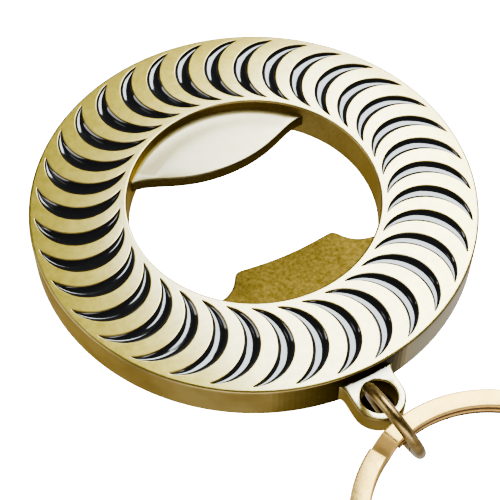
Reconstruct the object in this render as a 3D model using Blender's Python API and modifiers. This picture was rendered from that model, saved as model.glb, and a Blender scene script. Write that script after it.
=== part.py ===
"""Keychain bottle opener: a cast brass ring with enamelled crescents, a jump ring and a split key ring.

The opener is one casting: a flat ring with two thin webs inside it, the rest that bears on the cap and
the lip that hooks under its edge, and a small lug outside it. Thirty-five crescent pockets in the ring's
top face each hold their own enamel filling. The jump ring runs through the lug and round the key ring.

Everything is designed about the ring's centre, with its flat back at height 0 and the lug along -Y.
The opener_frame empty then places that design, so that the origin is under the middle of the whole
object, at the height of its lowest point.
"""

import math

import bmesh
import bpy
from mathutils import Matrix, Vector
from mathutils.geometry import interpolate_bezier

MM = 0.001

# The ring of the casting.
RING_RADIUS = 25.0 * MM
RING_BORE_RADIUS = 14.15 * MM
RING_THICKNESS = 4.5 * MM
RING_STEPS = 140
OUTER_BEVEL_WIDTH = 0.5 * MM
INNER_BEVEL_WIDTH = 0.35 * MM
TOP_BEVEL_DROP = 0.35 * MM
BACK_CHAMFER = 0.3 * MM

# The two webs inside the ring, which share their top and bottom heights.
WEB_TOP = 3.25 * MM
WEB_THICKNESS = 1.6 * MM
WEB_ROOT_RADIUS = 16.0 * MM
WEB_ROOT_STEPS = 14
EDGE_STEPS = 9
# Middle of each web's free edge, and the other outline points below, in millimetres.
REST_EDGE_Y = 5.95
LIP_EDGE_Y = -7.7

# The lug and its hole.
LUG_HOLE_Y = -27.5 * MM
LUG_HOLE_RADIUS = 1.84 * MM
LUG_END_RADIUS = 2.77 * MM
LUG_BOTTOM = 0.5 * MM
LUG_TOP = 2.9 * MM
LUG_ROOT_Y = -23.5 * MM
LUG_END_STEPS = 20
LUG_HOLE_STEPS = 32

# The crescents. Each lies between two arcs that share its tips.
CRESCENT_COUNT = 35
CRESCENT_FIRST_ANGLE = math.radians(5.66)
CRESCENT_LEAN = math.radians(1.1)
CRESCENT_CENTRE_RADIUS = 19.59 * MM
CRESCENT_HALF_CHORD = 4.65 * MM
CRESCENT_OUTER_RISE = 4.27 * MM
CRESCENT_INNER_RISE = 2.65 * MM
CRESCENT_ARC_STEPS = 8
POCKET_DEPTH = 0.9 * MM
ENAMEL_RECESS = 0.3 * MM
ENAMEL_GAP = 0.2 * MM

# The jump ring: round wire with a butt joint.
JUMP_WIRE_RADIUS = 0.6 * MM
JUMP_RADIUS = 4.08 * MM
JUMP_CENTRE = Vector((-0.265, -30.737, 3.296)) * MM
JUMP_TURN = math.radians(6.9)
JUMP_TILT = math.radians(17.4)
JUMP_JOINT_ANGLE = math.radians(-50.0)
JUMP_JOINT_GAP = 0.15 * MM
JUMP_STEPS = 40

# The key ring: one flat strip wound two turns, with a step where it changes level.
KEY_REACH = 17.95 * MM
KEY_BEARING = math.radians(10.5)
KEY_MEAN_RADIUS = 13.76 * MM
KEY_STRIP_WIDTH = 2.1 * MM
KEY_STRIP_THICKNESS = 0.76 * MM
KEY_TURN_RISE = 0.82 * MM
KEY_BOTTOM = 1.8 * MM
KEY_STEP_ANGLE = math.radians(113.5)
KEY_STEP_SPAN = math.radians(8.0)
KEY_END_GAP = math.radians(1.2)
KEY_POINT_SPACING = math.radians(4.0)

# Height of the opener's back above the object's lowest point, which is under the jump ring.
BACK_HEIGHT = JUMP_WIRE_RADIUS + JUMP_RADIUS * math.cos(JUMP_TILT) - JUMP_CENTRE.z

TAU = 2.0 * math.pi


def clear_scene():
    """Remove every object that the file opens with."""
    for item in list(bpy.data.objects):
        bpy.data.objects.remove(item, do_unlink=True)


def new_collection(name):
    collection = bpy.data.collections.new(name)
    bpy.context.scene.collection.children.link(collection)
    return collection


def new_material(name, colour, metallic, roughness):
    """A Principled BSDF material; colour is linear red, green and blue."""
    material = bpy.data.materials.new(name)
    material.use_nodes = True
    shader = material.node_tree.nodes["Principled BSDF"]
    shader.inputs["Base Color"].default_value = (*colour, 1.0)
    shader.inputs["Metallic"].default_value = metallic
    shader.inputs["Roughness"].default_value = roughness
    return material


def add_to(collection, name, data):
    piece = bpy.data.objects.new(name, data)
    collection.objects.link(piece)
    return piece


def mark_as_guide(piece):
    piece.hide_render = True
    piece.display_type = "WIRE"


def polar(radius, angle):
    return Vector((radius * math.cos(angle), radius * math.sin(angle)))


def arc(centre, radius, start, end, steps):
    """Points of an arc about centre, from the start angle to the end angle."""
    angles = [start + (end - start) * i / steps for i in range(steps + 1)]
    return [Vector(centre) + polar(radius, angle) for angle in angles]


def flat_curve(name, outlines, thickness):
    """A 2D curve filled between closed outlines and extruded to the thickness about height 0."""
    curve = bpy.data.curves.new(name, "CURVE")
    curve.dimensions = "2D"
    curve.fill_mode = "BOTH"
    curve.extrude = thickness / 2.0
    for outline in outlines:
        spline = curve.splines.new("POLY")
        spline.points.add(len(outline) - 1)
        for point, place in zip(spline.points, outline):
            point.co = (place.x, place.y, 0.0, 1.0)
        spline.use_cyclic_u = True
    return curve


def curve_to_mesh(collection, name, curve, location=(0.0, 0.0, 0.0)):
    """Turn a curve into a welded mesh object at the same place, and remove the curve."""
    source = add_to(collection, name + "_curve", curve)
    source.location = location
    bpy.context.view_layer.update()
    evaluated = source.evaluated_get(bpy.context.evaluated_depsgraph_get())
    mesh = bpy.data.meshes.new_from_object(evaluated)
    work = bmesh.new()
    work.from_mesh(mesh)
    bmesh.ops.remove_doubles(work, verts=work.verts, dist=0.001 * MM)
    bmesh.ops.recalc_face_normals(work, faces=work.faces)
    work.to_mesh(mesh)
    work.free()
    piece = add_to(collection, name, mesh)
    piece.matrix_world = source.matrix_world.copy()
    bpy.data.objects.remove(source, do_unlink=True)
    return piece


def add_boolean(piece, operation, other):
    modifier = piece.modifiers.new(operation.lower() + "_" + other.name, "BOOLEAN")
    modifier.operation = operation
    modifier.solver = "EXACT"
    modifier.object = other


def shade_round(mesh):
    mesh.shade_smooth()
    mesh.set_sharp_from_angle(angle=math.radians(35.0))


def arc_through_tips(rise):
    """Radius and centre height of the arc that passes through both tips and rises this far above them."""
    radius = (CRESCENT_HALF_CHORD ** 2 + rise ** 2) / (2.0 * rise)
    return radius, rise - radius


def crescent_outline(inset):
    """Outline of a crescent about its own centre, its chord along X, drawn in from the edge by inset."""
    outer_radius, outer_y = arc_through_tips(CRESCENT_OUTER_RISE)
    inner_radius, inner_y = arc_through_tips(CRESCENT_INNER_RISE)
    outer_radius -= inset
    inner_radius += inset
    spread = outer_radius ** 2 - inner_radius ** 2 - outer_y ** 2 + inner_y ** 2
    tip_y = spread / (2.0 * (inner_y - outer_y))
    tip_x = math.sqrt(outer_radius ** 2 - (tip_y - outer_y) ** 2)
    sides = []
    for radius, centre_y in ((outer_radius, outer_y), (inner_radius, inner_y)):
        start = math.atan2(tip_y - centre_y, tip_x)
        sides.append(arc((0.0, centre_y), radius, start, math.pi - start, CRESCENT_ARC_STEPS))
    outer, inner = sides
    return outer + inner[-2:0:-1]


def crescent_angle(index):
    return CRESCENT_FIRST_ANGLE + TAU * index / CRESCENT_COUNT


def build_ring(collection):
    """The plain ring: its section turned about the axis, drawn down the outer side first."""
    top = RING_THICKNESS
    shoulder = top - TOP_BEVEL_DROP
    section = [
        (RING_RADIUS - OUTER_BEVEL_WIDTH, top),
        (RING_RADIUS, shoulder),
        (RING_RADIUS, BACK_CHAMFER),
        (RING_RADIUS - BACK_CHAMFER, 0.0),
        (RING_BORE_RADIUS + BACK_CHAMFER, 0.0),
        (RING_BORE_RADIUS, BACK_CHAMFER),
        (RING_BORE_RADIUS, shoulder),
        (RING_BORE_RADIUS + INNER_BEVEL_WIDTH, top),
    ]
    corners = [(radius, 0.0, height) for radius, height in section]
    edges = [(i, (i + 1) % len(corners)) for i in range(len(corners))]
    mesh = bpy.data.meshes.new("opener_body")
    mesh.from_pydata(corners, edges, [])
    ring = add_to(collection, "opener_body", mesh)
    turn = ring.modifiers.new("turn", "SCREW")
    turn.steps = RING_STEPS
    turn.render_steps = RING_STEPS
    turn.use_merge_vertices = True
    turn.merge_threshold = 0.001 * MM
    turn.use_smooth_shade = False
    return ring


def web_root(corner):
    """The root arc of a web, inside the ring's wall, from below its left corner round to its right one."""
    right = math.atan2(corner.y, corner.x)
    left = math.copysign(math.pi, right) - right
    return arc((0.0, 0.0), WEB_ROOT_RADIUS, left, right, WEB_ROOT_STEPS)


def web_outline(stretches):
    """A web from the curves of its right half, which run from the wall to the middle of the free edge."""
    half = []
    for start, start_handle, end_handle, end in stretches:
        points = interpolate_bezier(
            Vector(start) * MM, Vector(start_handle) * MM, Vector(end_handle) * MM, Vector(end) * MM,
            EDGE_STEPS)
        half += [Vector(point[:2]) for point in points[bool(half):]]
    mirrored = [Vector((-point.x, point.y)) for point in reversed(half[:-1])]
    return half + mirrored + web_root(half[0])


def rest_outline():
    """The rest: an arched free edge that flattens out towards the bore."""
    return web_outline([
        ((11.6, 8.75), (8.2, 8.75), (6.0, REST_EDGE_Y), (0.0, REST_EDGE_Y)),
    ])


def lip_outline():
    """The lip: flanks that flare to the bore, rounded shoulders and a slightly hollow free edge."""
    shoulder = (6.35, -7.8)
    front = (5.3, -7.35)
    return web_outline([
        ((10.4, -10.15), (7.8, -10.05), (7.0, -8.9), shoulder),
        (shoulder, (6.05, -7.4), (5.8, -7.3), front),
        (front, (3.6, -7.5), (2.4, LIP_EDGE_Y), (0.0, LIP_EDGE_Y)),
    ])


def lug_outlines():
    """The lug: straight sides, a round end about the hole, and the hole itself."""
    hole_centre = (0.0, LUG_HOLE_Y)
    end = arc(hole_centre, LUG_END_RADIUS, math.pi, TAU, LUG_END_STEPS)
    root = [Vector((LUG_END_RADIUS, LUG_ROOT_Y)), Vector((-LUG_END_RADIUS, LUG_ROOT_Y))]
    hole = arc(hole_centre, LUG_HOLE_RADIUS, 0.0, TAU, LUG_HOLE_STEPS)[:-1]
    return [end + root, hole]


def pocket_outlines():
    """The outlines of all the crescent pockets, placed round the ring."""
    outlines = []
    for index in range(CRESCENT_COUNT):
        angle = crescent_angle(index)
        centre = polar(CRESCENT_CENTRE_RADIUS, angle)
        turn = angle + CRESCENT_LEAN
        outline = [centre + rotated(point, turn) for point in crescent_outline(0.0)]
        outlines.append(outline)
    return outlines


def rotated(point, angle):
    """The 2D point turned about the origin."""
    turned = point.copy()
    turned.rotate(Matrix.Rotation(angle, 2))
    return turned


def build_body(parts, cutters, metal):
    """The casting: the ring, joined by its webs and lug, with the pockets cut into its top face."""
    body = build_ring(parts)
    web_centre = WEB_TOP - WEB_THICKNESS / 2.0
    lug_centre = (LUG_TOP + LUG_BOTTOM) / 2.0
    joined = [
        ("rest_web", [rest_outline()], WEB_THICKNESS, web_centre),
        ("lip_web", [lip_outline()], WEB_THICKNESS, web_centre),
        ("lug", lug_outlines(), LUG_TOP - LUG_BOTTOM, lug_centre),
    ]
    for name, outlines, thickness, height in joined:
        curve = flat_curve(name, outlines, thickness)
        piece = curve_to_mesh(cutters, name, curve, (0.0, 0.0, height))
        mark_as_guide(piece)
        add_boolean(body, "UNION", piece)
    pocket_curve = flat_curve("crescent_pockets", pocket_outlines(), 2.0 * POCKET_DEPTH)
    pockets = curve_to_mesh(cutters, "crescent_pockets", pocket_curve, (0.0, 0.0, RING_THICKNESS))
    mark_as_guide(pockets)
    add_boolean(body, "DIFFERENCE", pockets)
    body.data.materials.append(metal)
    return body


def build_enamel(parts, enamel):
    """One filling for each pocket. They share one mesh, and each is turned to its own place."""
    thickness = POCKET_DEPTH - ENAMEL_RECESS - ENAMEL_GAP
    curve = flat_curve("enamel_filling", [crescent_outline(ENAMEL_GAP)], thickness)
    height = RING_THICKNESS - ENAMEL_RECESS - thickness / 2.0
    fillings = []
    mesh = None
    for index in range(CRESCENT_COUNT):
        name = "enamel_%02d" % (index + 1)
        if mesh is None:
            filling = curve_to_mesh(parts, name, curve)
            mesh = filling.data
            mesh.materials.append(enamel)
        else:
            filling = add_to(parts, name, mesh)
        angle = crescent_angle(index)
        place = polar(CRESCENT_CENTRE_RADIUS, angle)
        filling.location = (place.x, place.y, height)
        filling.rotation_euler = (0.0, 0.0, angle + CRESCENT_LEAN)
        fillings.append(filling)
    return fillings


def wire_curve(name, points):
    """An open 3D curve through the points, with filled caps."""
    curve = bpy.data.curves.new(name, "CURVE")
    curve.dimensions = "3D"
    curve.use_fill_caps = True
    spline = curve.splines.new("POLY")
    spline.points.add(len(points) - 1)
    for point, place in zip(spline.points, points):
        point.co = (*place, 1.0)
    return curve


def build_jump_ring(parts, wire_metal):
    """The jump ring: a circle of round wire, open by a hair at its butt joint."""
    half_gap = JUMP_JOINT_GAP / 2.0 / JUMP_RADIUS
    start = JUMP_JOINT_ANGLE + half_gap
    sweep = TAU - 2.0 * half_gap
    outward = Vector((math.sin(JUMP_TURN), -math.cos(JUMP_TURN), 0.0))
    sideways = Vector((math.cos(JUMP_TURN), math.sin(JUMP_TURN), 0.0))
    upward = Vector((0.0, 0.0, 1.0)) * math.cos(JUMP_TILT) - sideways * math.sin(JUMP_TILT)
    hole_axis = Vector((0.0, LUG_HOLE_Y, 0.0))
    points = []
    for i in range(JUMP_STEPS + 1):
        angle = start + sweep * i / JUMP_STEPS
        spoke = outward * math.cos(angle) + upward * math.sin(angle)
        points.append(JUMP_CENTRE - hole_axis + spoke * JUMP_RADIUS)
    curve = wire_curve("jump_ring", points)
    curve.bevel_depth = JUMP_WIRE_RADIUS
    curve.bevel_resolution = 3
    ring = curve_to_mesh(parts, "jump_ring", curve)
    ring.location = hole_axis
    shade_round(ring.data)
    ring.data.materials.append(wire_metal)
    return ring


def key_ring_hinge():
    """The point of the key ring's mean circle nearest the lug hole, and the way it lies from there."""
    outward = Vector((math.sin(KEY_BEARING), -math.cos(KEY_BEARING), 0.0))
    height = KEY_BOTTOM + (KEY_TURN_RISE + KEY_STRIP_THICKNESS) / 2.0
    hinge = Vector((0.0, LUG_HOLE_Y, height)) + outward * (KEY_REACH - KEY_MEAN_RADIUS)
    return hinge, outward


def key_strip_points(centre):
    """The strip's centre line: a lower turn, a smooth step up, and an upper turn."""
    turn = TAU - KEY_STEP_SPAN
    start = KEY_END_GAP
    end = 2.0 * turn + KEY_STEP_SPAN - KEY_END_GAP
    count = round((end - start) / KEY_POINT_SPACING)
    low = KEY_STRIP_THICKNESS / 2.0
    points = []
    for i in range(count + 1):
        run = start + (end - start) * i / count
        climb = min(1.0, max(0.0, (run - turn) / KEY_STEP_SPAN))
        smooth = climb * climb * (3.0 - 2.0 * climb)
        place = polar(KEY_MEAN_RADIUS, KEY_STEP_ANGLE - KEY_STEP_SPAN / 2.0 - run)
        points.append(centre + Vector((place.x, place.y, low + smooth * KEY_TURN_RISE)))
    return points


def build_key_ring(parts, cutters, key_metal):
    """The key ring: a flat section swept along the strip, with its origin on its swing axis."""
    hinge, outward = key_ring_hinge()
    half_width = KEY_STRIP_WIDTH / 2.0
    half_thickness = KEY_STRIP_THICKNESS / 2.0
    corners = [
        Vector((-half_width, -half_thickness)),
        Vector((half_width, -half_thickness)),
        Vector((half_width, half_thickness)),
        Vector((-half_width, half_thickness)),
    ]
    section_curve = flat_curve("key_strip_section", [corners], 0.0)
    section = add_to(cutters, "key_strip_section", section_curve)
    mark_as_guide(section)
    centre = outward * KEY_MEAN_RADIUS + Vector((0.0, 0.0, KEY_BOTTOM - hinge.z))
    curve = wire_curve("key_ring", key_strip_points(centre))
    curve.twist_mode = "Z_UP"
    curve.bevel_mode = "OBJECT"
    curve.bevel_object = section
    ring = curve_to_mesh(parts, "key_ring", curve)
    ring.location = hinge
    ring.data.materials.append(key_metal)
    return ring


def place_object(pieces):
    """Hang every piece on one empty that puts the origin under the middle of the whole object."""
    hinge, outward = key_ring_hinge()
    key_centre = hinge + outward * KEY_MEAN_RADIUS
    nearest_y = key_centre.y - KEY_MEAN_RADIUS - KEY_STRIP_WIDTH / 2.0
    middle_y = (RING_RADIUS + nearest_y) / 2.0
    frame = bpy.data.objects.new("opener_frame", None)
    bpy.context.scene.collection.objects.link(frame)
    frame.location = (0.0, -middle_y, BACK_HEIGHT)
    for piece in pieces:
        piece.parent = frame


def main():
    clear_scene()
    parts = new_collection("keychain_bottle_opener")
    cutters = new_collection("cutters")
    antique_brass = new_material("antique_brass", (0.62, 0.47, 0.20), 1.0, 0.32)
    black_enamel = new_material("black_enamel", (0.012, 0.013, 0.014), 0.0, 0.12)
    bronze_wire = new_material("bronze_wire", (0.33, 0.21, 0.10), 1.0, 0.30)
    pale_gold = new_material("pale_gold", (0.80, 0.62, 0.36), 1.0, 0.22)
    pieces = [build_body(parts, cutters, antique_brass)]
    pieces += build_enamel(parts, black_enamel)
    pieces.append(build_jump_ring(parts, bronze_wire))
    pieces.append(build_key_ring(parts, cutters, pale_gold))
    guides = list(cutters.objects)
    place_object(pieces + guides)


main()
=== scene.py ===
"""Looks of the keychain bottle opener: its fine surfaces, materials, light and camera.

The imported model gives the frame. Each of its nodes is replaced here by a piece with the same place and
size, modelled with rounded edges, a crowned face, hollow enamel and real wire and strip sections.
Lengths inside the modelling functions are in millimetres about the centre of the ring's back.
"""

import math

import bmesh
import bpy
from mathutils import Matrix, Vector
from mathutils.geometry import delaunay_2d_cdt, interpolate_bezier


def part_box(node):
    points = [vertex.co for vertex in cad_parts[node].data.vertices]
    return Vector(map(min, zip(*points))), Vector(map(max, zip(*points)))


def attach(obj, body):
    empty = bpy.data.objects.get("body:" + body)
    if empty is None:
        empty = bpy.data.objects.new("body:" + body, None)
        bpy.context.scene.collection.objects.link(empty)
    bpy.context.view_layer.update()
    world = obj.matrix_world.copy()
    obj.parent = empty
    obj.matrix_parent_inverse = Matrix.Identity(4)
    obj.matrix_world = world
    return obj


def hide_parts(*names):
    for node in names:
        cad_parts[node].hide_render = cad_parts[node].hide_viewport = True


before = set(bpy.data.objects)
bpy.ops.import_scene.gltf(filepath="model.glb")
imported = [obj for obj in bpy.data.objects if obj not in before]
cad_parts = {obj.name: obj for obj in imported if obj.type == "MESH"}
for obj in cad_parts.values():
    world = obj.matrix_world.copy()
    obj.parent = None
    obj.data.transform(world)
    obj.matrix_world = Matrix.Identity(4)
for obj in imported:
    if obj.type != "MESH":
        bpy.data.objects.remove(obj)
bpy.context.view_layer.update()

MM = 0.001
TAU = 2.0 * math.pi

# The opener's place and main sizes, read from the frame.
BODY_LOW, BODY_HIGH = [Vector(corner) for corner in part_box("opener_body")]
RING_RADIUS = (BODY_HIGH.x - BODY_LOW.x) / 2.0 / MM
RING_THICKNESS = (BODY_HIGH.z - BODY_LOW.z) / MM
RING_CENTRE = Vector(((BODY_LOW.x + BODY_HIGH.x) / 2.0, BODY_HIGH.y - RING_RADIUS * MM, BODY_LOW.z))

# The casting.
BORE_RADIUS = 14.15
RING_STEPS = 280
FACE_ROWS = 16
CROWN_DROP = 0.018
OUTER_FILLET = 0.30
INNER_FILLET = 0.22
BACK_FILLET = 0.30
FILLET_STEPS = 5
SUPPORT = 0.05
WEB_TOP = 3.25
WEB_THICKNESS = 1.6
WEB_ROOT_RADIUS = 15.2
WEB_ROOT_STEPS = 40
REST_EDGE_RADIUS = 0.25
LIP_EDGE_RADIUS = 0.22
LIP_SLOPE = 0.05
REST_DISH_RADIUS = 11.9
REST_DISH_WIDTH = 2.25
REST_DISH_SPAN = math.radians(44.0)
REST_DISH_RISE = 0.08
REST_DISH_ROWS = 12
REST_DISH_ROW_PITCH = 0.2
LUG_HOLE_Y = -27.5
LUG_HOLE_RADIUS = 1.84
LUG_END_RADIUS = 2.77
LUG_BOTTOM = 0.5
LUG_TOP = 2.9
LUG_EDGE_RADIUS = 0.22
LUG_FLARE_WIDTH = 0.7
LUG_FLARE_Y = -25.8
LUG_FLARE_LENGTH = 1.1
LUG_FLARE_STEPS = 6
LUG_INNER_END_Y = -23.6
LUG_ROOT_Y = -26.1
LUG_ROOT_LENGTH = 1.2
LUG_ROOT_RISE = 0.13

# The crescents.
CRESCENT_COUNT = 35
CRESCENT_FIRST_ANGLE = math.radians(5.66)
CRESCENT_LEAN = math.radians(1.1)
CRESCENT_CENTRE_RADIUS = 19.59
CRESCENT_HALF_CHORD = 4.65
CRESCENT_OUTER_RISE = 4.27
CRESCENT_INNER_RISE = 2.65
CRESCENT_STEPS = 26
TIP_STEPS = 4
POCKET_RIM = 0.10
POCKET_DEPTH = 0.9
ENAMEL_CLEARANCE = 0.004
ENAMEL_EDGE_DEPTH = 0.22
ENAMEL_HOLLOW = 0.27
ENAMEL_ACROSS = 14

# The jump ring and the key ring.
JUMP_WIRE_RADIUS = 0.6
JUMP_RADIUS = 4.08
JUMP_CENTRE = Vector((-0.265, -30.737, 3.296))
JUMP_TURN = math.radians(6.9)
JUMP_TILT = math.radians(17.4)
JUMP_JOINT_ANGLE = math.radians(-50.0)
JUMP_JOINT_GAP = 0.15
JUMP_STEPS = 120
WIRE_CORNERS = 24
WIRE_END_SCALE = 0.97
KEY_REACH = 17.95
KEY_BEARING = math.radians(10.5)
KEY_MEAN_RADIUS = 13.76
KEY_STRIP_WIDTH = 2.1
KEY_STRIP_THICKNESS = 0.76
KEY_STRIP_FILLET = 0.24
KEY_TURN_RISE = 0.82
KEY_BOTTOM = 1.8
KEY_STEP_ANGLE = math.radians(114.2)
KEY_STEP_SPAN = math.radians(8.0)
KEY_END_GAP = math.radians(1.2)
KEY_POINT_SPACING = math.radians(1.5)

# The marks painted on the casting's faces, in the order that marks() gives them: how brown, with some
# painted shade; how polished, with some painted reflection; a painted sheen; and painted shade.
CASTING_MARKS = ("patina_and_shade", "buffed_and_sheen", "painted_sheen", "painted_shade")

# Where the colours painted on the casting change.
BUFF_START_RISE = 0.85
BUFF_RISE_SPAN = 0.14
# A painted dimmer sheen on the face's outer part, towards this bearing.
DIM_SHEEN_BEARING = 40.0
DIM_SHEEN_RADIUS = 21.5
DIM_SHEEN_WIDTH = 2.5
# Painted shade on the outer wall by the lug, reaching further to its left.
LUG_CORNER = Vector((2.5, -24.8))
LUG_SHADE_REACH_LEFT = 7.5
LUG_SHADE_REACH_RIGHT = 2.5
# A painted greyish reflection on the outer wall right of the lug, about this bearing.
GREY_REFLECTION_BEARING = -64.0
GREY_REFLECTION_SPREAD = 16.0

# The camera, about the ring's face.
CAMERA_BEARING = math.radians(27.4)
CAMERA_ELEVATION = math.radians(54.44)
CAMERA_DISTANCE = 136.6
CAMERA_AIM = Vector((-0.405, -7.418))
CAMERA_LENS = 91.15

# The stage, in metres, and a spot of painted shadow on the floor under the lug.
STAGE_RADIUS = 0.9
STAGE_WALL_HEIGHT = 1.5
STAGE_STEPS = 96
STAGE_GLOW = 9.0
PAINTED_SHADOW_SPOT = Vector((0.9, LUG_HOLE_Y + 1.7, 0.0))
PAINTED_SHADOW_INNER_RADIUS = 0.0026
PAINTED_SHADOW_OUTER_RADIUS = 0.0040

# How far the lamps stand from the ring's centre, in metres.
LAMP_DISTANCE = 0.5

# Brightness of the studio by the sine of the elevation.
SKY_STOPS = [(-1.0, 0.8), (-0.05, 0.9), (0.06, 0.75), (0.24, 0.22), (0.6, 0.11), (1.0, 0.12)]


# ---------------------------------------------------------------- small helpers

def polar(radius, angle):
    return Vector((radius * math.cos(angle), radius * math.sin(angle)))


def arc(centre, radius, start, end, steps):
    angles = [start + (end - start) * i / steps for i in range(steps + 1)]
    return [Vector(centre) + polar(radius, angle) for angle in angles]


def clamped(value):
    return min(1.0, max(0.0, value))


def turned(point, angle):
    return Matrix.Rotation(angle, 2) @ point


def to_world(point):
    """A design point in millimetres about the ring's centre, in the frame's metres."""
    return RING_CENTRE + Vector(point) * MM


def finish_mesh(work, name, smooth_angle=35.0):
    """Weld and orient a working mesh given in millimetres, and link it as an object."""
    bmesh.ops.remove_doubles(work, verts=work.verts, dist=0.0005)
    bmesh.ops.recalc_face_normals(work, faces=work.faces)
    mesh = bpy.data.meshes.new(name)
    for vert in work.verts:
        vert.co = to_world(vert.co)
    work.to_mesh(mesh)
    work.free()
    mesh.shade_smooth()
    mesh.set_sharp_from_angle(angle=math.radians(smooth_angle))
    piece = bpy.data.objects.new(name, mesh)
    bpy.context.scene.collection.objects.link(piece)
    return piece


def add_loop(work, points):
    return [work.verts.new(point) for point in points]


def bridge(work, lower, upper, closed=True):
    """Quads between two loops with the same number of corners."""
    count = len(lower)
    for i in range(count if closed else count - 1):
        j = (i + 1) % count
        work.faces.new((lower[i], lower[j], upper[j], upper[i]))


# ---------------------------------------------------------------- crescents

def arc_through_tips(rise):
    radius = (CRESCENT_HALF_CHORD ** 2 + rise ** 2) / (2.0 * rise)
    return radius, rise - radius


def crescent_sides(inset):
    """Both arcs of a crescent moved in by inset, from the +X tip to the -X tip, as lists of points."""
    outer_radius, outer_y = arc_through_tips(CRESCENT_OUTER_RISE)
    inner_radius, inner_y = arc_through_tips(CRESCENT_INNER_RISE)
    if inset > 0.0:
        outer_radius -= inset
        inner_radius += inset
        tip_y = outer_radius ** 2 - inner_radius ** 2 - outer_y ** 2 + inner_y ** 2
        tip_y /= 2.0 * (inner_y - outer_y)
        outer_start = math.asin((tip_y - outer_y) / outer_radius)
        inner_start = math.asin((tip_y - inner_y) / inner_radius)
    else:
        outer_start = math.asin(-outer_y / outer_radius)
        inner_start = math.asin(-inner_y / inner_radius)
        outer_radius -= inset
        inner_radius += inset
    outer = arc((0.0, outer_y), outer_radius, outer_start, math.pi - outer_start, CRESCENT_STEPS)
    inner = arc((0.0, inner_y), inner_radius, inner_start, math.pi - inner_start, CRESCENT_STEPS)
    return outer, inner


def crescent_loop(inset):
    """The whole outline, moved in by inset, or out with round tips where inset is negative."""
    outer, inner = crescent_sides(inset)
    if inset >= 0.0:
        tip_left = [outer[-1]] * (TIP_STEPS - 1)
        tip_right = [outer[0]] * (TIP_STEPS - 1)
    else:
        half = CRESCENT_HALF_CHORD
        tip_left = tip_arc(Vector((-half, 0.0)), outer[-1], inner[-1])
        tip_right = tip_arc(Vector((half, 0.0)), inner[0], outer[0])
    return outer + tip_left + inner[::-1] + tip_right


def tip_arc(centre, start, end):
    """Points between start and end on the small arc about a tip, the long way round its outside."""
    first = start - centre
    last = end - centre
    begin = math.atan2(first.y, first.x)
    sweep = (math.atan2(last.y, last.x) - begin) % TAU
    return [centre + polar(first.length, begin + sweep * i / TIP_STEPS) for i in range(1, TIP_STEPS)]


def crescent_angle(index):
    return CRESCENT_FIRST_ANGLE + TAU * index / CRESCENT_COUNT


def on_ring(point, index):
    """A crescent's own point, placed on the ring."""
    angle = crescent_angle(index)
    return polar(CRESCENT_CENTRE_RADIUS, angle) + turned(point, angle + CRESCENT_LEAN)


def inside_crescent(point, index, margin):
    """Whether a point of the face lies in the crescent, or within margin of it."""
    angle = crescent_angle(index)
    own = turned(point - polar(CRESCENT_CENTRE_RADIUS, angle), -angle - CRESCENT_LEAN)
    outer_radius, outer_y = arc_through_tips(CRESCENT_OUTER_RISE)
    inner_radius, inner_y = arc_through_tips(CRESCENT_INNER_RISE)
    in_outer = (own - Vector((0.0, outer_y))).length < outer_radius + margin
    in_inner = (own - Vector((0.0, inner_y))).length < inner_radius - margin
    return in_outer and not in_inner and own.y > -margin * 1.5


def in_some_crescent(point, margin):
    pitch = TAU / CRESCENT_COUNT
    nearest = round((math.atan2(point.y, point.x) - CRESCENT_FIRST_ANGLE) / pitch)
    return any(inside_crescent(point, nearest + step, margin) for step in (-2, -1, 0, 1))


def crown(radius):
    """Height of the face under its highest line: it falls away gently towards both edges."""
    middle = (RING_RADIUS + BORE_RADIUS) / 2.0
    half = (RING_RADIUS - BORE_RADIUS) / 2.0
    return -CROWN_DROP * abs((radius - middle) / half) ** 3.0


def face_point(point, depth=0.0):
    """A point of the face or of a pocket at some depth under the crowned face."""
    return (point.x, point.y, RING_THICKNESS + crown(point.length) - depth)


# ---------------------------------------------------------------- the casting

def rounded_corner(inner, corner, outer, radius):
    """Points of a fillet of a profile corner, between two straight runs."""
    to_inner = (inner - corner).normalized() * radius
    to_outer = (outer - corner).normalized() * radius
    centre = corner + to_inner + to_outer
    points = []
    for i in range(FILLET_STEPS + 1):
        share = math.pi / 2.0 * i / FILLET_STEPS
        points.append(centre - to_outer * math.cos(share) - to_inner * math.sin(share))
    return points


def ring_profile():
    """The ring's section from the face's outer edge, down the wall, along the back and up the bore."""
    top_outer = RING_THICKNESS + crown(RING_RADIUS)
    top_inner = RING_THICKNESS + crown(BORE_RADIUS)
    corners = [
        (Vector((RING_RADIUS, top_outer)), OUTER_FILLET),
        (Vector((RING_RADIUS, 0.0)), BACK_FILLET),
        (Vector((BORE_RADIUS, 0.0)), BACK_FILLET),
        (Vector((BORE_RADIUS, top_inner)), INNER_FILLET),
    ]
    points = []
    count = len(corners)
    for i, (corner, radius) in enumerate(corners):
        before = corners[(i - 1) % count][0]
        after = corners[(i + 1) % count][0]
        fillet = rounded_corner(before, corner, after, radius)
        entry = fillet[0] + (before - corner).normalized() * SUPPORT
        leave = fillet[-1] + (after - corner).normalized() * SUPPORT
        if i > 0:
            points.append(entry)
        points += fillet
        if i < count - 1:
            points.append(leave)
    return points


def face_outline_radii():
    profile = ring_profile()
    return profile[0].x, profile[-1].x


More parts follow.
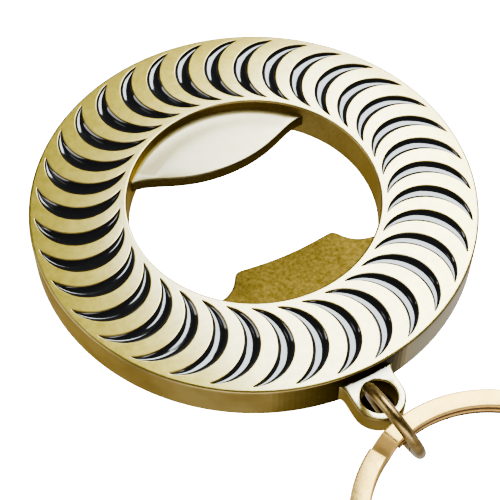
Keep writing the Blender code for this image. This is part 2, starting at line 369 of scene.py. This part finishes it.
def build_face(work):
    """The crowned face between its two edges, with a hole for each crescent, as an even triangle mesh."""
    outer_edge, inner_edge = face_outline_radii()
    points = []
    edges = []

    def constrain(loop):
        start = len(points)
        points.extend(loop)
        edges.extend((start + i, start + (i + 1) % len(loop)) for i in range(len(loop)))

    for radius in (outer_edge, outer_edge - SUPPORT, inner_edge + SUPPORT, inner_edge):
        constrain(arc((0.0, 0.0), radius, 0.0, TAU, RING_STEPS)[:-1])
    rim = crescent_loop(-POCKET_RIM - SUPPORT)
    for index in range(CRESCENT_COUNT):
        constrain([on_ring(point, index) for point in rim])
    for i in range(1, FACE_ROWS):
        radius = inner_edge + (outer_edge - inner_edge) * i / FACE_ROWS
        for j in range(RING_STEPS):
            point = polar(radius, TAU * (j + 0.5 * (i % 2)) / RING_STEPS)
            if not in_some_crescent(point, POCKET_RIM + 0.25):
                points.append(point)
    verts, _, faces, *_ = delaunay_2d_cdt(points, edges, [], 0, 1e-5)
    corners = [work.verts.new(face_point(vert)) for vert in verts]
    for face in faces:
        centre = sum((verts[i] for i in face), Vector((0.0, 0.0))) / len(face)
        if inner_edge < centre.length < outer_edge and not in_some_crescent(centre, POCKET_RIM):
            work.faces.new([corners[i] for i in face])


def build_pocket(work, index):
    """A crescent pocket: rounded rim, steep wall and flat floor."""
    loops = [[face_point(on_ring(p, index)) for p in crescent_loop(-POCKET_RIM - SUPPORT)]]
    for i in range(FILLET_STEPS + 1):
        share = math.pi / 2.0 * i / FILLET_STEPS
        inset = -POCKET_RIM * (1.0 - math.sin(share))
        depth = POCKET_RIM * (1.0 - math.cos(share))
        loops.append([face_point(on_ring(p, index), depth) for p in crescent_loop(inset)])
    loops.append([face_point(on_ring(p, index), POCKET_DEPTH) for p in crescent_loop(0.0)])
    rows = [add_loop(work, loop) for loop in loops]
    for upper, lower in zip(rows, rows[1:]):
        bridge(work, upper, lower)
    floor = rows[-1]
    side = CRESCENT_STEPS + 1
    outer = floor[:side]
    inner = floor[side + TIP_STEPS - 1:2 * side + TIP_STEPS - 1][::-1]
    bridge(work, outer, inner, closed=False)


def build_ring(work):
    """The ring's walls, back and rounded edges, turned from its section."""
    profile = ring_profile()
    rows = []
    for place in profile:
        circle = arc((0.0, 0.0), place.x, 0.0, TAU, RING_STEPS)[:-1]
        rows.append(add_loop(work, [(point.x, point.y, place.y) for point in circle]))
    for upper, lower in zip(rows, rows[1:]):
        bridge(work, upper, lower)


def web_root(corner):
    """The arc that a web ends in, hidden inside the ring, from the left corner's bearing to the right's."""
    right = math.atan2(corner.y, corner.x)
    left = math.copysign(math.pi, right) - right
    return arc((0.0, 0.0), WEB_ROOT_RADIUS, left, right, WEB_ROOT_STEPS)


def web_outline(stretches):
    """A web from the curves of its right half, which run from the wall to the middle of the free edge."""
    half = []
    for start, start_handle, end_handle, end, steps in stretches:
        controls = [Vector(p).to_3d() for p in (start, start_handle, end_handle, end)]
        points = interpolate_bezier(*controls, steps)
        half += [Vector(point[:2]) for point in points[bool(half):]]
    mirrored = [Vector((-point.x, point.y)) for point in reversed(half[:-1])]
    return half + mirrored + web_root(half[0])


def rest_outline():
    return web_outline([
        ((11.0, 8.75), (8.2, 8.75), (6.0, 5.95), (0.0, 5.95), 40),
    ])


def lip_outline():
    shoulder = (6.35, -7.8)
    front = (5.3, -7.35)
    return web_outline([
        ((10.4, -10.15), (7.8, -10.05), (7.0, -8.9), shoulder, 18),
        (shoulder, (6.05, -7.4), (5.8, -7.3), front, 9),
        (front, (3.6, -7.5), (2.4, -7.7), (0.0, -7.7), 12),
    ])


def inside_loop(point, loop):
    """Whether a point is inside a round loop of points."""
    centre = sum(loop, Vector((0.0, 0.0))) / len(loop)
    return (point - centre).length < (loop[0] - centre).length


def build_plate(name, outline, holes, bottom, top, edge_radius, fall, inner=()):
    """A plate with rounded edges; fall(point) lowers its upper face, which gets corners at inner."""
    work = bmesh.new()
    points = list(outline)
    edges = [(i, (i + 1) % len(outline)) for i in range(len(outline))]
    for hole in holes:
        start = len(points)
        points += hole
        edges += [(start + i, start + (i + 1) % len(hole)) for i in range(len(hole))]
    verts, _, faces, *_ = delaunay_2d_cdt(points + list(inner), edges, [], 1 if inner else 3, 1e-5)
    low = [work.verts.new((vert.x, vert.y, bottom)) for vert in verts]
    for face in faces:
        middle = sum((verts[i] for i in face), Vector((0.0, 0.0))) / len(face)
        if not (inner and any(inside_loop(middle, hole) for hole in holes)):
            work.faces.new([low[i] for i in face])
    if not inner:
        bmesh.ops.dissolve_limit(work, angle_limit=0.01, verts=work.verts, edges=work.edges)
    raised = bmesh.ops.extrude_face_region(work, geom=list(work.faces))
    for item in raised["geom"]:
        if isinstance(item, bmesh.types.BMVert):
            item.co.z = top - fall(item.co)
    bmesh.ops.recalc_face_normals(work, faces=work.faces)
    rims = [edge for edge in work.edges if edge.calc_face_angle(0.0) > math.radians(60.0)]
    bmesh.ops.bevel(work, geom=rims, offset=edge_radius, segments=4, profile=0.5, affect="EDGES")
    bmesh.ops.triangulate(work, faces=[face for face in work.faces if len(face.verts) > 4])
    return finish_mesh(work, name)


def lug_outline():
    """Straight sides that flare into the ring's wall, and a round end about the hole."""
    end = arc((0.0, LUG_HOLE_Y), LUG_END_RADIUS, math.pi, TAU, 48)
    flare = []
    for i in range(LUG_FLARE_STEPS + 1):
        share = math.pi / 2.0 * i / LUG_FLARE_STEPS
        side = LUG_END_RADIUS + LUG_FLARE_WIDTH * (1.0 - math.cos(share))
        flare.append(Vector((side, LUG_FLARE_Y + LUG_FLARE_LENGTH * math.sin(share))))
    right = flare + [Vector((LUG_END_RADIUS + LUG_FLARE_WIDTH, LUG_INNER_END_Y))]
    left = [Vector((-point.x, point.y)) for point in reversed(right)]
    return end + right + left


def join_all(base, others):
    """Union the other meshes into the base mesh for good."""
    for other in others:
        modifier = base.modifiers.new(other.name, "BOOLEAN")
        modifier.operation = "UNION"
        modifier.solver = "EXACT"
        modifier.object = other
    bpy.context.view_layer.update()
    evaluated = base.evaluated_get(bpy.context.evaluated_depsgraph_get())
    mesh = bpy.data.meshes.new_from_object(evaluated)
    base.modifiers.clear()
    base.data = mesh
    for other in others:
        bpy.data.objects.remove(other, do_unlink=True)
    mesh.shade_smooth()
    mesh.set_sharp_from_angle(angle=math.radians(35.0))
    return base


def lip_fall(place):
    """How far the lip's upper face lies under its level at the ring's wall."""
    run = math.hypot(place.x, place.y)
    return LIP_SLOPE * max(0.0, BORE_RADIUS - run)


def rest_fall(place):
    """Never above zero, as the rest's upper face climbs a little towards the wall behind it."""
    near = clamped((math.hypot(place.x, place.y) - REST_DISH_RADIUS) / REST_DISH_WIDTH)
    turn = min(1.0, abs(math.atan2(place.x, place.y)) / REST_DISH_SPAN)
    return -REST_DISH_RISE * near ** 3 * (1.0 - turn ** 2)


def lug_fall(place):
    """Never above zero, as the lug's top climbs a little towards the ring."""
    near = clamped((place.y - LUG_ROOT_Y) / LUG_ROOT_LENGTH)
    return -LUG_ROOT_RISE * near ** 2


def rest_dish_points():
    """Rows of points on the rest, between which its upper face can climb."""
    start = math.pi / 2.0 - REST_DISH_SPAN
    end = math.pi / 2.0 + REST_DISH_SPAN
    points = []
    for i in range(REST_DISH_ROWS):
        points += arc((0.0, 0.0), REST_DISH_RADIUS + REST_DISH_ROW_PITCH * i, start, end, 60)
    return points


def lug_root_points():
    """A grid of points on the lug's top near the ring, clear of its sides and of its hole."""
    clear_of_hole = LUG_HOLE_RADIUS + 0.15
    points = []
    for i in range(-9, 10):
        for j in range(8):
            x, y = 0.3 * i, LUG_ROOT_Y + 0.2 * j
            if abs(x) < 2.5 and math.hypot(x, y - LUG_HOLE_Y) > clear_of_hole:
                points.append((x, y))
    return points


def build_casting():
    """The ring with its pockets, joined with the rest, the lip and the lug into one mesh."""
    work = bmesh.new()
    build_face(work)
    for index in range(CRESCENT_COUNT):
        build_pocket(work, index)
    build_ring(work)
    casting = finish_mesh(work, "opener_casting")
    web_bottom = WEB_TOP - WEB_THICKNESS
    hole = arc((0.0, LUG_HOLE_Y), LUG_HOLE_RADIUS, 0.0, TAU, 64)[:-1]
    rest = build_plate("rest", rest_outline(), [], web_bottom, WEB_TOP,
                       REST_EDGE_RADIUS, rest_fall, rest_dish_points())
    lip = build_plate("lip", lip_outline(), [], web_bottom, WEB_TOP, LIP_EDGE_RADIUS, lip_fall)
    lug = build_plate("lug", lug_outline(), [hole], LUG_BOTTOM, LUG_TOP,
                      LUG_EDGE_RADIUS, lug_fall, lug_root_points())
    return join_all(casting, [rest, lip, lug])


# ---------------------------------------------------------------- enamel

def build_enamel(index):
    """One filling: a hollow glossy surface that climbs the pocket's walls, closed below."""
    work = bmesh.new()
    outer, inner = crescent_sides(ENAMEL_CLEARANCE)
    widths = [(a - b).length for a, b in zip(outer, inner)]
    widest = max(widths)
    top_rows = []
    for step in range(ENAMEL_ACROSS + 1):
        across = step / ENAMEL_ACROSS
        bowl = 1.0 - abs(2.0 * across ** 1.12 - 1.0) ** 2.9
        row = []
        for a, b, width in zip(outer, inner, widths):
            hollow = ENAMEL_HOLLOW * (width / widest) ** 0.7 * bowl
            row.append(face_point(on_ring(a.lerp(b, across), index), ENAMEL_EDGE_DEPTH + hollow))
        top_rows.append(add_loop(work, row))
    for first, second in zip(top_rows, top_rows[1:]):
        bridge(work, first, second, closed=False)
    floor_depth = POCKET_DEPTH - ENAMEL_CLEARANCE
    floor_outer = add_loop(work, [face_point(on_ring(a, index), floor_depth) for a in outer])
    floor_inner = add_loop(work, [face_point(on_ring(b, index), floor_depth) for b in inner])
    bridge(work, top_rows[0], floor_outer, closed=False)
    bridge(work, top_rows[-1], floor_inner, closed=False)
    bridge(work, floor_outer, floor_inner, closed=False)
    return finish_mesh(work, "enamel_filling_%02d" % (index + 1), 60.0)


# ---------------------------------------------------------------- jump ring and key ring

def sweep(work, sections):
    """A body through the section loops, with closed ends."""
    rows = [add_loop(work, section) for section in sections]
    for first, second in zip(rows, rows[1:]):
        bridge(work, first, second)
    work.faces.new(rows[0])
    work.faces.new(rows[-1])


def build_jump_ring():
    """A loop of round wire that leans a little, with a hairline gap at its butt joint."""
    outward = Vector((math.sin(JUMP_TURN), -math.cos(JUMP_TURN), 0.0))
    sideways = Vector((math.cos(JUMP_TURN), math.sin(JUMP_TURN), 0.0))
    upward = Vector((0.0, 0.0, 1.0)) * math.cos(JUMP_TILT) - sideways * math.sin(JUMP_TILT)
    normal = outward.cross(upward)
    half_gap = JUMP_JOINT_GAP / 2.0 / JUMP_RADIUS
    sections = []
    for i in range(JUMP_STEPS + 1):
        angle = JUMP_JOINT_ANGLE + half_gap + (TAU - 2.0 * half_gap) * i / JUMP_STEPS
        spoke = outward * math.cos(angle) + upward * math.sin(angle)
        centre = JUMP_CENTRE + spoke * JUMP_RADIUS
        at_end = i in (0, JUMP_STEPS)
        radius = JUMP_WIRE_RADIUS * (WIRE_END_SCALE if at_end else 1.0)
        section = []
        for j in range(WIRE_CORNERS):
            around = TAU * j / WIRE_CORNERS
            section.append(centre + (spoke * math.cos(around) + normal * math.sin(around)) * radius)
        sections.append(section)
    work = bmesh.new()
    sweep(work, sections)
    return finish_mesh(work, "jump_ring_wire")


def key_section():
    """The strip's section across and up, with well rounded edges."""
    half_width = KEY_STRIP_WIDTH / 2.0
    half_thickness = KEY_STRIP_THICKNESS / 2.0
    points = []
    for quarter, (x, y) in enumerate(((1, 1), (-1, 1), (-1, -1), (1, -1))):
        centre = (x * (half_width - KEY_STRIP_FILLET), y * (half_thickness - KEY_STRIP_FILLET))
        start = quarter * math.pi / 2.0
        points += arc(centre, KEY_STRIP_FILLET, start, start + math.pi / 2.0, 5)
    return points


def build_key_ring():
    """The flat strip, wound clockwise for two turns with a step between its levels."""
    outward = Vector((math.sin(KEY_BEARING), -math.cos(KEY_BEARING), 0.0))
    ring_centre = Vector((0.0, LUG_HOLE_Y, KEY_BOTTOM)) + outward * KEY_REACH
    turn = TAU - KEY_STEP_SPAN
    start = KEY_END_GAP
    end = 2.0 * turn + KEY_STEP_SPAN - KEY_END_GAP
    count = round((end - start) / KEY_POINT_SPACING)
    section = key_section()
    sections = []
    for i in range(count + 1):
        run = start + (end - start) * i / count
        climb = min(1.0, max(0.0, (run - turn) / KEY_STEP_SPAN))
        smooth = climb * climb * (3.0 - 2.0 * climb)
        angle = KEY_STEP_ANGLE - KEY_STEP_SPAN / 2.0 - run
        spoke = Vector((math.cos(angle), math.sin(angle), 0.0))
        height = KEY_STRIP_THICKNESS / 2.0 + smooth * KEY_TURN_RISE
        centre = ring_centre + spoke * KEY_MEAN_RADIUS + Vector((0.0, 0.0, height))
        sections.append([centre + spoke * point.x + Vector((0.0, 0.0, point.y)) for point in section])
    work = bmesh.new()
    sweep(work, sections)
    return finish_mesh(work, "key_ring_strip", 50.0)


# ---------------------------------------------------------------- materials

class Nodes:
    """A short way to write a material's node tree."""

    def __init__(self, name):
        self.material = bpy.data.materials.new(name)
        self.material.use_nodes = True
        self.tree = self.material.node_tree
        self.shader = self.tree.nodes["Principled BSDF"]

    def add(self, kind, settings=None, **inputs):
        node = self.tree.nodes.new(kind)
        for key, value in (settings or {}).items():
            setattr(node, key, value)
        for key, value in inputs.items():
            self.set(node.inputs[key.replace("_", " ")], value)
        return node

    def set(self, socket, value):
        if isinstance(value, bpy.types.NodeSocket):
            self.tree.links.new(value, socket)
        else:
            socket.default_value = value

    def noise(self, vector, scale, detail=3.0, roughness=0.6):
        node = self.add("ShaderNodeTexNoise", Scale=scale, Detail=detail, Roughness=roughness)
        self.set(node.inputs["Vector"], vector)
        return node.outputs["Fac"]

    def ramp(self, factor, stops):
        node = self.add("ShaderNodeValToRGB")
        ramp = node.color_ramp
        while len(ramp.elements) < len(stops):
            ramp.elements.new(0.5)
        for element, (position, colour) in zip(ramp.elements, stops):
            element.position = position
            element.color = (*colour, 1.0)
        self.set(node.inputs["Fac"], factor)
        return node.outputs["Color"]

    def remap(self, value, from_low, from_high, low, high):
        node = self.add("ShaderNodeMapRange")
        self.set(node.inputs["Value"], value)
        limits = {"From Min": from_low, "From Max": from_high, "To Min": low, "To Max": high}
        for key, number in limits.items():
            node.inputs[key].default_value = number
        return node.outputs["Result"]

    def mix(self, factor, first, second):
        node = self.add("ShaderNodeMix", {"data_type": "RGBA"})
        self.set(node.inputs["Factor"], factor)
        self.set(node.inputs["A"], first)
        self.set(node.inputs["B"], second)
        return node.outputs["Result"]


    def attribute(self, name):
        return self.add("ShaderNodeAttribute", {"attribute_name": name}).outputs["Fac"]

    def object_place(self):
        return self.add("ShaderNodeTexCoord").outputs["Object"]

    def rough_bump(self, height, strength, distance=0.00002):
        """A fine relief over the whole surface."""
        node = self.add("ShaderNodeBump", Strength=strength, Distance=distance)
        self.set(node.inputs["Height"], height)
        self.set(self.shader.inputs["Normal"], node.outputs["Normal"])

    def total(self, first, second):
        node = self.add("ShaderNodeMath", {"operation": "ADD"})
        self.set(node.inputs[0], first)
        self.set(node.inputs[1], second)
        return node.outputs[0]


def rgba(red, green, blue):
    return (red, green, blue, 1.0)


def brass_material():
    """Antiqued brass: lacquered and bright where polished, browner with age or painted shade, greyer where
    a sheen or a reflection is painted, near black where shade is painted.
    """
    n = Nodes("antique_brass_satin")
    place = n.object_place()
    patina_and_shade, buffed_and_sheen, painted_sheen, painted_shade = [n.attribute(name) for name in CASTING_MARKS]
    cloud = n.noise(place, 160.0, 4.0, 0.55)
    grain = n.noise(place, 5200.0, 2.0, 0.7)
    mottle = n.remap(n.noise(place, 900.0, 5.0, 0.7), 0.35, 0.65, 0.0, 1.0)
    drift = n.remap(cloud, 0.35, 0.65, 0.0, 1.0)
    speckle = n.remap(n.noise(place, 2400.0, 4.0, 0.75), 0.35, 0.65, 0.0, 1.0)
    bright = n.mix(mottle, rgba(0.42, 0.33, 0.042), rgba(0.53, 0.42, 0.074))
    side = n.mix(drift, rgba(0.25, 0.185, 0.075), rgba(0.35, 0.275, 0.125))
    brown = n.mix(speckle, rgba(0.130, 0.090, 0.020), rgba(0.24, 0.175, 0.050))
    # The greyish colour of the painted sheen and the painted reflection.
    sheen_grey = n.mix(drift, rgba(0.35, 0.325, 0.245), rgba(0.44, 0.42, 0.33))
    metal = n.mix(painted_sheen, n.mix(buffed_and_sheen, side, bright), sheen_grey)
    stained_and_shaded = n.mix(patina_and_shade, metal, brown)
    # Near black where shade is painted.
    n.set(n.shader.inputs["Base Color"], n.mix(painted_shade, stained_and_shaded, rgba(0.018, 0.014, 0.009)))
    n.shader.inputs["Specular Tint"].default_value = rgba(0.75, 0.62, 0.38)
    n.shader.inputs["Metallic"].default_value = 1.0
    rough = n.total(n.remap(grain, 0.3, 0.7, 0.36, 0.42), n.remap(patina_and_shade, 0.0, 1.0, 0.0, 0.16))
    n.set(n.shader.inputs["Roughness"], rough)
    n.set(n.shader.inputs["Coat Weight"], buffed_and_sheen)
    n.shader.inputs["Coat Roughness"].default_value = 0.15
    n.shader.inputs["Coat IOR"].default_value = 2.45
    n.rough_bump(grain, 0.08)
    return n.material


def enamel_material():
    """Black soft enamel, smooth and glossy, with a faint unevenness."""
    n = Nodes("black_enamel_gloss")
    place = n.object_place()
    cloud = n.noise(place, 300.0, 3.0, 0.5)
    n.set(n.shader.inputs["Base Color"], n.mix(cloud, rgba(0.006, 0.006, 0.007), rgba(0.014, 0.014, 0.015)))
    n.shader.inputs["IOR"].default_value = 2.08
    n.set(n.shader.inputs["Roughness"], n.remap(cloud, 0.3, 0.7, 0.04, 0.09))
    n.rough_bump(n.noise(place, 700.0, 2.0, 0.5), 0.08, 0.00005)
    return n.material


def wire_material():
    """The jump ring's bronze: mottled from brown to gold, with a satin grain."""
    n = Nodes("bronze_wire_satin")
    place = n.object_place()
    cloud = n.noise(place, 500.0, 4.0, 0.6)
    grain = n.noise(place, 4200.0, 2.0, 0.7)
    stops = [(0.3, (0.15, 0.10, 0.04)), (0.5, (0.30, 0.215, 0.09)), (0.7, (0.40, 0.30, 0.15))]
    colour = n.ramp(cloud, stops)
    n.set(n.shader.inputs["Base Color"], colour)
    n.shader.inputs["Metallic"].default_value = 1.0
    n.set(n.shader.inputs["Roughness"], n.remap(grain, 0.3, 0.7, 0.26, 0.42))
    n.rough_bump(grain, 0.3)
    return n.material


def key_material():
    """The key ring's light gold, with a painted orange-gold highlight on its rounded edges and a painted
    red-brown shade on its walls.
    """
    n = Nodes("pale_gold_polished")
    place = n.object_place()
    cloud = n.noise(place, 260.0, 4.0, 0.6)
    grain = n.noise(place, 3600.0, 2.0, 0.7)
    lean = n.attribute("lean")
    warm = n.remap(cloud, 0.3, 0.7, 0.0, 1.0)
    level = n.mix(warm, rgba(0.37, 0.255, 0.085), rgba(0.46, 0.335, 0.130))
    # Painted highlight: a brighter orange gold on the rounded edges.
    amber_edge_highlight = n.mix(warm, rgba(0.62, 0.41, 0.15), rgba(0.76, 0.56, 0.25))
    # Painted shade: a dark red brown on the walls.
    russet_wall_shade = n.mix(warm, rgba(0.13, 0.072, 0.040), rgba(0.22, 0.13, 0.070))
    edge = n.mix(n.remap(lean, 0.002, 0.03, 0.0, 1.0), level, amber_edge_highlight)
    n.set(n.shader.inputs["Base Color"], n.mix(n.remap(lean, 0.55, 0.90, 0.0, 1.0), edge, russet_wall_shade))
    n.shader.inputs["Metallic"].default_value = 1.0
    rough = n.total(n.remap(grain, 0.3, 0.7, 0.16, 0.26), n.remap(lean, 0.002, 0.03, 0.0, 0.42))
    n.set(n.shader.inputs["Roughness"], rough)
    n.rough_bump(grain, 0.15)
    return n.material


def marks(patina_and_shade=0.0, buffed_and_sheen=0.0, painted_sheen=0.0, painted_shade=0.0):
    return patina_and_shade, buffed_and_sheen, painted_sheen, painted_shade


def web_marks(place, rise):
    """The lip is brown all over, with a little painted shade below; the rest has painted shade on its brown
    walls and a painted sheen on top.
    """
    if place.y < 0.0:
        # The lip: a little painted shade on its walls and underside.
        return marks(patina_and_shade=1.0) if rise > 0.2 else marks(patina_and_shade=0.8, painted_shade=0.2)
    # The rest's walls: painted shade.
    if rise < 0.75:
        return marks(patina_and_shade=0.9, painted_shade=0.6)
    # A painted sheen on the rest's upper face.
    return marks(patina_and_shade=0.14, buffed_and_sheen=0.5 * buffing(rise), painted_sheen=0.42)


def buffing(rise):
    """Only level faces are buffed."""
    return clamped((rise - BUFF_START_RISE) / BUFF_RISE_SPAN)


def outer_wall_marks(place, bearing):
    """Plain brass, but brown with painted shade near the lug, reaching further to its left, and a painted
    greyish reflection right of it.
    """
    to_lug = math.hypot(max(0.0, abs(place.x) - LUG_CORNER.x), place.y - LUG_CORNER.y)
    reach = LUG_SHADE_REACH_LEFT if place.x < 0.0 else LUG_SHADE_REACH_RIGHT
    # Painted shade, strongest next to the lug.
    corner = max(0.0, 1.0 - to_lug / reach) ** 0.7
    # A painted greyish reflection right of the lug, with a little coat and painted shade.
    grey_reflection = clamped(1.6 - abs(bearing - GREY_REFLECTION_BEARING) / GREY_REFLECTION_SPREAD)
    painted_shade = min(0.95, 0.9 * corner + 0.45 * grey_reflection)
    return marks(corner, 0.45 * grey_reflection, grey_reflection * (1.0 - corner), painted_shade)


def casting_marks(place, rise):
    """What a face of the casting is painted with, from its place and its normal's rise."""
    run = math.hypot(place.x, place.y)
    bearing = math.degrees(math.atan2(place.y, place.x))
    if run < BORE_RADIUS - 0.03:
        return web_marks(place, rise)
    if run < BORE_RADIUS + 0.2 and rise < 0.5:
        return marks(patina_and_shade=0.45)
    # The lug's hole: browner, with painted shade near black on its walls.
    if math.hypot(place.x, place.y - LUG_HOLE_Y) < LUG_HOLE_RADIUS + 0.1:
        return marks(patina_and_shade=0.6, painted_shade=0.9 if rise < 0.3 else 0.0)
    # The lug, with a painted sheen on its level top.
    if run > RING_RADIUS + 0.05:
        return marks(patina_and_shade=0.08, buffed_and_sheen=buffing(rise), painted_sheen=0.35 * buffing(rise))
    if rise > 0.5:
        # A painted dimmer sheen: less polish on the face's outer part towards the upper right.
        facing = max(0.0, math.cos(math.radians(bearing - DIM_SHEEN_BEARING)))
        dim_sheen = facing * clamped((run - DIM_SHEEN_RADIUS) / DIM_SHEEN_WIDTH)
        return marks(buffed_and_sheen=buffing(rise) * (1.0 - 0.45 * dim_sheen))
    if rise < -0.5:
        return marks(patina_and_shade=0.2)
    return outer_wall_marks(place, bearing)


def paint_patina_and_light(casting):
    """Mark each face of the casting: how brown it stayed or is shaded by paint, how far it's polished, and
    how much painted sheen and painted shade it has.
    """
    mesh = casting.data
    painted = [casting_marks((face.center - RING_CENTRE) / MM, face.normal.z) for face in mesh.polygons]
    for slot, name in enumerate(CASTING_MARKS):
        layer = mesh.attributes.new(name, "FLOAT", "FACE")
        layer.data.foreach_set("value", [row[slot] for row in painted])


def paint_edges(strip):
    """Mark how far each face of the key ring leans from level: the material paints a highlight on its
    rounded edges and shade on its walls.
    """
    layer = strip.data.attributes.new("lean", "FLOAT", "FACE")
    layer.data.foreach_set("value", [1.0 - abs(face.normal.z) for face in strip.data.polygons])


# ---------------------------------------------------------------- stage, light and camera

def shown_to_camera_only(item):
    """The stage is a plain white ground for the picture; the metal mirrors the studio instead."""
    item.visible_diffuse = False
    item.visible_glossy = False
    item.visible_transmission = False
    item.visible_volume_scatter = False
    item.visible_shadow = False


def stage_material(name):
    """White, clear from behind so that the object can be looked at from below, with a shadow painted on it
    under the lug.
    """
    n = Nodes(name)
    gap = n.add("ShaderNodeVectorMath", {"operation": "DISTANCE"})
    n.set(gap.inputs[0], n.object_place())
    # A painted shadow: the floor is darker and without glow in a spot under the lug.
    spot = to_world(PAINTED_SHADOW_SPOT)
    gap.inputs[1].default_value = (spot.x, spot.y, 0.0)
    shade = n.remap(gap.outputs["Value"], PAINTED_SHADOW_INNER_RADIUS, PAINTED_SHADOW_OUTER_RADIUS, 0.0, 1.0)
    n.set(n.shader.inputs["Base Color"], n.mix(shade, rgba(0.03, 0.025, 0.02), rgba(0.8, 0.8, 0.8)))
    n.shader.inputs["Roughness"].default_value = 0.9
    n.shader.inputs["Specular IOR Level"].default_value = 0.0
    n.shader.inputs["Emission Color"].default_value = rgba(1.0, 1.0, 1.0)
    n.set(n.shader.inputs["Emission Strength"], n.remap(shade, 0.0, 1.0, 0.0, STAGE_GLOW))
    clear = n.add("ShaderNodeBsdfTransparent")
    choice = n.add("ShaderNodeMixShader")
    n.set(choice.inputs[0], n.add("ShaderNodeNewGeometry").outputs["Backfacing"])
    n.set(choice.inputs[1], n.shader.outputs["BSDF"])
    n.set(choice.inputs[2], clear.outputs["BSDF"])
    n.set(n.tree.nodes["Material Output"].inputs["Surface"], choice.outputs["Shader"])
    return n.material


def build_stage():
    """A round floor at the object's lowest point, and a white wall that rises from its rim."""
    circle = arc((0.0, 0.0), STAGE_RADIUS, 0.0, TAU, STAGE_STEPS)[:-1]
    work = bmesh.new()
    centre = work.verts.new((0.0, 0.0, 0.0))
    low = add_loop(work, [(point.x, point.y, 0.0) for point in circle])
    for i in range(STAGE_STEPS):
        work.faces.new((centre, low[i], low[(i + 1) % STAGE_STEPS]))
    floor = stage_piece("studio_floor", work)
    work = bmesh.new()
    low = add_loop(work, [(point.x, point.y, 0.0) for point in circle])
    high = add_loop(work, [(point.x, point.y, STAGE_WALL_HEIGHT) for point in circle])
    for i in range(STAGE_STEPS):
        j = (i + 1) % STAGE_STEPS
        work.faces.new((low[j], low[i], high[i], high[j]))
    wall = stage_piece("studio_wall", work)


def stage_piece(name, work):
    mesh = bpy.data.meshes.new(name)
    work.to_mesh(mesh)
    work.free()
    mesh.materials.append(stage_material(name + "_white"))
    piece = bpy.data.objects.new(name, mesh)
    bpy.context.scene.collection.objects.link(piece)
    shown_to_camera_only(piece)
    return piece


def sky_direction(azimuth, elevation):
    """The direction at an azimuth in degrees, clockwise from +Y seen from above, and an elevation."""
    turn = math.radians(azimuth)
    rise = math.radians(elevation)
    return Vector((math.sin(turn) * math.cos(rise), math.cos(turn) * math.cos(rise), math.sin(rise)))


def add_softbox(name, azimuth, elevation, size, roll, radiance, colour=(1.0, 1.0, 1.0)):
    """A flat lamp that faces the ring; radiance is what a perfect mirror would show of it."""
    direction = sky_direction(azimuth, elevation)
    light = bpy.data.lights.new(name, "AREA")
    light.shape = "RECTANGLE"
    light.size, light.size_y = size
    light.energy = radiance * math.pi * size[0] * size[1]
    light.color = colour
    lamp = bpy.data.objects.new(name, light)
    bpy.context.scene.collection.objects.link(lamp)
    lamp.location = RING_CENTRE + direction * LAMP_DISTANCE
    facing = direction.to_track_quat("Z", "Y").to_matrix()
    lamp.rotation_euler = (facing @ Matrix.Rotation(math.radians(roll), 3, "Z")).to_euler()
    lamp.visible_camera = False


def build_world():
    """Pale up to just over the horizon, and dim overhead, so that mostly the lamps show in the metal."""
    world = bpy.data.worlds.new("studio_air")
    bpy.context.scene.world = world
    world.use_nodes = True
    tree = world.node_tree
    place = tree.nodes.new("ShaderNodeTexCoord")
    split = tree.nodes.new("ShaderNodeSeparateXYZ")
    ramp = tree.nodes.new("ShaderNodeValToRGB")
    while len(ramp.color_ramp.elements) < len(SKY_STOPS):
        ramp.color_ramp.elements.new(0.5)
    for element, (position, level) in zip(ramp.color_ramp.elements, SKY_STOPS):
        element.position = (position + 1.0) / 2.0
        element.color = rgba(level, level, level)
    tree.links.new(place.outputs["Generated"], split.inputs["Vector"])
    height = tree.nodes.new("ShaderNodeMapRange")
    height.inputs["From Min"].default_value = -1.0
    tree.links.new(split.outputs["Z"], height.inputs["Value"])
    tree.links.new(height.outputs["Result"], ramp.inputs["Fac"])
    tree.links.new(ramp.outputs["Color"], tree.nodes["Background"].inputs["Color"])


def build_camera():
    """The camera looks along its bearing, down at its elevation, at a point on the ring's face."""
    turn = Matrix.Rotation(-CAMERA_BEARING, 2)
    aim = turn @ CAMERA_AIM
    target = to_world((aim.x, aim.y, RING_THICKNESS))
    back_flat = turn @ Vector((0.0, -1.0))
    level = math.cos(CAMERA_ELEVATION)
    back = Vector((back_flat.x * level, back_flat.y * level, math.sin(CAMERA_ELEVATION)))
    data = bpy.data.cameras.new("camera")
    data.lens = CAMERA_LENS
    data.sensor_width = 36.0
    data.clip_start = 0.005
    data.clip_end = 20.0
    camera = bpy.data.objects.new("camera", data)
    bpy.context.scene.collection.objects.link(camera)
    camera.location = target + back * CAMERA_DISTANCE * MM
    camera.rotation_euler = back.to_track_quat("Z", "Y").to_euler()
    bpy.context.scene.camera = camera


# ---------------------------------------------------------------- put together

def place(piece, node, body, slot, material):
    """Give a piece its material, and put it in place of a node on that node's body."""
    piece.data.materials.clear()
    piece.data.materials.append(material)
    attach(piece, body)
    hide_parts(node)


casting = build_casting()
paint_patina_and_light(casting)
place(casting, "opener_body", "opener", "antique_brass", brass_material())

enamel = enamel_material()
for number in range(CRESCENT_COUNT):
    filling = build_enamel(number)
    place(filling, "enamel_%02d" % (number + 1), "opener", "black_enamel", enamel)

place(build_jump_ring(), "jump_ring", "jump_ring", "bronze_wire", wire_material())
strip = build_key_ring()
paint_edges(strip)
place(strip, "key_ring", "key_ring", "pale_gold", key_material())

build_stage()
build_world()
add_softbox("fill_lamp", -25.0, 60.0, (0.07, 0.07), 0.0, 1.4)
add_softbox("front_softbox", 205.0, 20.0, (0.60, 0.24), 0.0, 3.0)
add_softbox("side_softbox", 292.0, 24.0, (0.45, 0.26), 0.0, 2.4)
add_softbox("key_softbox", 58.0, 51.0, (0.34, 0.36), -24.0, 7.9, (0.91, 0.98, 1.0))
build_camera()
bpy.context.scene.view_settings.view_transform = "AgX"
bpy.context.scene.view_settings.look = "AgX - High Contrast"
